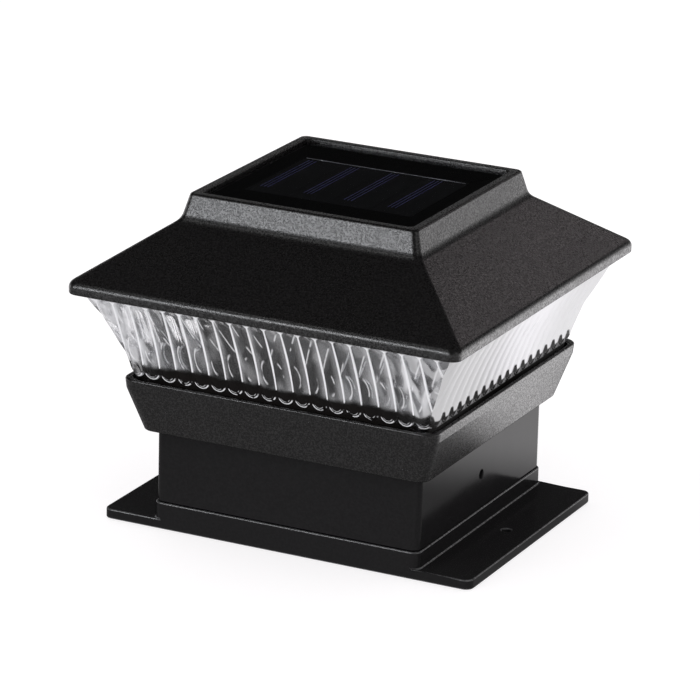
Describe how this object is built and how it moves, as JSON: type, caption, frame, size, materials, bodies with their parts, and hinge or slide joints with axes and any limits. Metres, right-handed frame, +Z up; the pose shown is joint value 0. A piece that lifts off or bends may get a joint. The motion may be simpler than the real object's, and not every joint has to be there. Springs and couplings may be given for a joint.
{
  "type": "deck post cap light",
  "caption": "Square solar post cap light: wing plate, sleeve skirt, tray, flared ribbed clear lens and a lift-off hipped roof with a solar panel and lamp box.",
  "frame": {"origin": "middle of the underside of the adapter plate", "axes": "+X along the wings of the plate, +Z up through the roof, +Y square to both; the row is upright as it stands on a post or rail"},
  "size_m": [0.1458, 0.1458, 0.1191],
  "materials": {
    "black_gloss_plastic": "smooth semi-gloss black",
    "black_textured_plastic": "fine-grained satin black",
    "clear_lens": "clear ribbed styrene",
    "gasket_foam": "closed-cell foam",
    "screw_steel": "zinc plated",
    "panel_backing": "black laminate",
    "solar_cell": "dark blue-black silicon",
    "panel_resin": "clear glossy resin",
    "grey_box_plastic": "satin dark grey",
    "circuit_board": "green solder mask",
    "led_epoxy": "clear epoxy",
    "battery_sleeve": "shrink sleeve, plain",
    "contact_nickel": "nickel plated",
    "switch_plastic": "satin black",
    "lead_red": "PVC insulation",
    "lead_black": "PVC insulation"
  },
  "bodies": {
    "base": {"adapter_base": "black_gloss_plastic"},
    "head": {"skirt": "black_gloss_plastic", "tray": "black_textured_plastic", "lens_gasket": "gasket_foam", "lens": "clear_lens", "tray_screws": "screw_steel", "lens_screws": "screw_steel"},
    "roof": {"roof": "black_textured_plastic", "panel_seal": "gasket_foam", "solar_backing": "panel_backing", "solar_cells": "solar_cell", "panel_cover": "panel_resin", "lamp_box": "grey_box_plastic", "box_screws": "screw_steel", "circuit_board": "circuit_board", "board_screws": "screw_steel", "leds": "led_epoxy", "battery": "battery_sleeve", "battery_spring": "contact_nickel", "battery_contact": "contact_nickel", "switch_body": "switch_plastic", "door_pin": "screw_steel", "panel_lead_red": "lead_red", "panel_lead_black": "lead_black"},
    "door": {"battery_door": "grey_box_plastic"},
    "switch": {"switch_knob": "switch_plastic"}
  },
  "joints": [
    {"name": "head_lift", "type": "slide", "parent": "base", "child": "head", "axis": [0, 0, 1], "range_m": [0, 0.03]},
    {"name": "roof_lift", "type": "slide", "parent": "head", "child": "roof", "axis": [0, 0, 1], "range_m": [0, 0.05]},
    {"name": "battery_door_hinge", "type": "hinge", "parent": "roof", "child": "door", "pos_m": [0, -0.0115, 0.0622], "axis": [-1, 0, 0], "range_deg": [0, 110]},
    {"name": "switch_slide", "type": "slide", "parent": "roof", "child": "switch", "axis": [1, 0, 0], "range_m": [0, 0.003]}
  ]
}
